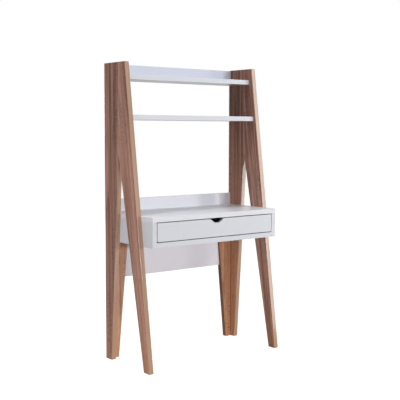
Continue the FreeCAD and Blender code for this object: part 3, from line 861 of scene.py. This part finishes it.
# %% Screw heads on the runners
HEAD_RADIUS, HEAD_WALL, HEAD_DOME = 0.0030, 0.00055, 0.00045
head_rings = recessed_rings(
    HEAD_RADIUS, HEAD_WALL, HEAD_DOME, reach=0.0018, half=0.0005, depth=0.0006, groove=0.0
)
head_rings[..., 2] += HEAD_WALL
for name, body, face_x, facing, spots in (
    ("fixed_runner_screws", "frame", FIXED_FACE_X, -1, (0.138, -0.002, -0.122)),
    ("drawer_runner_screws", "drawer", DRAWER_FACE_X, 1, (0.110, -0.002, -0.132)),
):
    places = [((sign * face_x, y, AXLE_Z), (sign * facing, 0, 0)) for y in spots for sign in SIGNS]
    turned_piece(name, head_rings, False, places, body, "fastener_steel", [])

# %% [markdown]
# ## Boards that stay as they are
#
# The white boards, the runners and the hidden joinery already have their right shape in the CAD
# model. Their meshes are left alone and only get a finish, by the material slot that the record
# names for them. A few white boards have a sheet of their own, with painted light or shade in its
# tone: the desk top and its back are lighter, the modesty panel is lighter and lilac with painted
# bounce light from the wood, the top shelf and the rail are darker, a painted shade, and the
# shelves carry painted shade on their undersides. The desk top, its back and the rail are also a
# little duller.

# %% Finishes on the CAD nodes that stay
# White boards whose sheets carry painted light or shade in their tones.
LIT_AND_SHADED_SHEETS = {
    "desk_top": lit_matt_sheet,
    "desk_back_board": lit_matt_sheet,
    "modesty_panel": bounce_lit_panel_sheet,
    "top_back_rail": shaded_rail_sheet,
    "top_shelf": top_sheet,
    "middle_shelf": middle_sheet,
}
slots = {entry["node"]: entry["material_slot"] for entry in frame["record"]["subparts"]}
for node, thing in nodes.items():
    finish = LIT_AND_SHADED_SHEETS.get(node, hardware.get(slots[node], post_wood["left"]))
    thing.data.materials.clear()
    thing.data.materials.append(finish)
print("finished nodes:", len(nodes))

# %% [markdown]
# ## Floor, backdrop and light
#
# The picture is a studio shot on white. The floor looks white to the camera and still keeps a faint
# shadow: for camera rays most of its brightness is its own, and for all other rays it is a plain
# floor that throws some light back up. Two far lamps in front give even whites. A tall slim strip
# on the right stands where the right frame's edges mirror it, so that only those edges shine, and a
# small spot over it brightens the desk top. Lamps on the left and above open up the shadows, and
# one behind lights the back.

# %% Floor
FLOOR_HALF = 20.0
FLOOR_GLOW, FLOOR_GREY = 0.985, 0.25
RAYS = ("Is Camera Ray", "Is Glossy Ray", "Is Transmission Ray")


def floor_finish():
    """Pale floor that camera, glossy and transmission rays see as almost white."""
    pale = Finish("studio_floor", {"Base Color": paint(182, 174, 164), "Roughness": 0.9})
    path = pale.tree.nodes.new("ShaderNodeLightPath")
    rays = [Layer(pale, path.outputs[kind]) for kind in RAYS]
    seen = pale.add("Math", {"operation": "MAXIMUM"}, {0: rays[0], 1: rays[1]})
    seen = pale.add("Math", {"operation": "MAXIMUM"}, {0: seen, 1: rays[2]})
    glow = pale.add("Emission", {}, {"Color": (1.0, 1.0, 1.0, 1.0), "Strength": FLOOR_GLOW})
    grey = pale.add("BsdfDiffuse", {}, {"Color": (FLOOR_GREY, FLOOR_GREY, FLOOR_GREY, 1.0)})
    white = pale.add("AddShader", {}, {0: glow, 1: grey})
    plain = Layer(pale, pale.shader.outputs[0])
    both = pale.add("MixShader", {}, {0: seen, 1: plain, 2: white})
    pale.feed(pale.tree.nodes["Material Output"].inputs["Surface"], both)
    return pale.material


steps = np.linspace(-FLOOR_HALF, FLOOR_HALF, 3)
grid_x, grid_y = np.meshgrid(steps, steps)
floor_points = np.column_stack([grid_x.ravel(), grid_y.ravel(), np.zeros(grid_x.size)])
floor_quads = [[0, 1, 4, 3], [1, 2, 5, 4], [3, 4, 7, 6], [4, 5, 8, 7]]
floor_mesh = bpy.data.meshes.new("floor")
floor_mesh.from_pydata(floor_points.tolist(), [], floor_quads)
floor_mesh.materials.append(floor_finish())
floor = bpy.data.objects.new("floor", floor_mesh)
bpy.context.scene.collection.objects.link(floor)
print("floor:", FLOOR_HALF * 2, "m wide")

# %% Room light
ROOM_LIGHT = 0.08
world = bpy.data.worlds.new("room")
bpy.context.scene.world = world
world.use_nodes = True
room = world.node_tree
path = room.nodes.new("ShaderNodeLightPath")
shown = room.nodes.new("ShaderNodeMath")
shown.operation = "MAXIMUM"
seen = room.nodes.new("ShaderNodeMath")
seen.operation = "MAXIMUM"
level = room.nodes.new("ShaderNodeMapRange")
level.inputs["To Min"].default_value = ROOM_LIGHT
room.links.new(path.outputs[RAYS[0]], shown.inputs[0])
room.links.new(path.outputs[RAYS[1]], shown.inputs[1])
room.links.new(shown.outputs[0], seen.inputs[0])
room.links.new(path.outputs[RAYS[2]], seen.inputs[1])
room.links.new(seen.outputs[0], level.inputs["Value"])
room.links.new(level.outputs["Result"], room.nodes["Background"].inputs["Strength"])
room.nodes["Background"].inputs["Color"].default_value = (1.0, 1.0, 1.0, 1.0)
print("room light:", ROOM_LIGHT)

# %% Lamps


def soft_lamp(name, place, aim, width, height, power):
    """Rectangular soft lamp at a place, turned to the point that it is aimed at."""
    lamp = bpy.data.lights.new(name, "AREA")
    lamp.shape = "RECTANGLE"
    lamp.energy = power
    lamp.size = width
    lamp.size_y = height
    thing = bpy.data.objects.new(name, lamp)
    thing.location = place
    gaze = Vector(aim) - Vector(place)
    thing.rotation_euler = gaze.to_track_quat("-Z", "Y").to_euler()
    bpy.context.scene.collection.objects.link(thing)


# Name, place, point that it is aimed at, width, height, power in watts.
LAMPS = [
    ("left_key", (-2.6, -6.5, 1.35), (0.0, 0.0, 0.8), 1.6, 0.4, 90.0),
    ("right_key", (1.8, -6.75, 1.35), (0.0, 0.0, 0.8), 1.6, 0.4, 121.0),
    ("right_spot", (2.57, -2.43, 3.05), (0.0, 0.0, 1.0), 0.3, 0.3, 20.0),
    ("right_strip", (2.57, -2.43, 1.50), (0.4125, 0.0, 1.50), 0.42, 3.0, 15.0),
    ("left_lamp", (-2.6, -0.5, 0.95), (0.0, 0.0, 0.9), 1.2, 1.2, 13.5),
    ("top_left_lamp", (-1.8, 0.0, 4.0), (0.0, 0.0, 0.8), 1.0, 1.0, 34.0),
    ("top_lamp", (0.0, -0.9, 4.2), (0.0, 0.0, 0.8), 2.0, 2.0, 20.0),
    ("back_lamp", (1.4, 6.4, 2.0), (0.0, 0.0, 0.8), 2.0, 2.0, 190.0),
]
for settings in LAMPS:
    soft_lamp(*settings)
print("lamps:", [settings[0] for settings in LAMPS])

# %% [markdown]
# ## Camera
#
# The camera was worked out from the corners of the boards in the picture: it stands in front of the
# left frame, a little above the desk, and looks slightly down with a long lens.

# %% Camera
IMAGE = 400
FOCAL_PIXELS = 835.2
CAMERA_PLACE = (-2.6689, -3.4667, 1.1778)
LOOK_DOWN, ROLL, TURN_RIGHT = 0.0820, -0.0017, 0.6628
camera_data = bpy.data.cameras.new("camera")
camera_data.sensor_width = 36.0
camera_data.lens = FOCAL_PIXELS / IMAGE * camera_data.sensor_width
camera = bpy.data.objects.new("camera", camera_data)
camera.location = CAMERA_PLACE
camera.rotation_euler = (math.pi / 2 - LOOK_DOWN, ROLL, -TURN_RIGHT)
bpy.context.scene.collection.objects.link(camera)
bpy.context.scene.camera = camera
bpy.context.scene.view_settings.view_transform = "Standard"
print("lens:", round(camera_data.lens, 2), "mm")
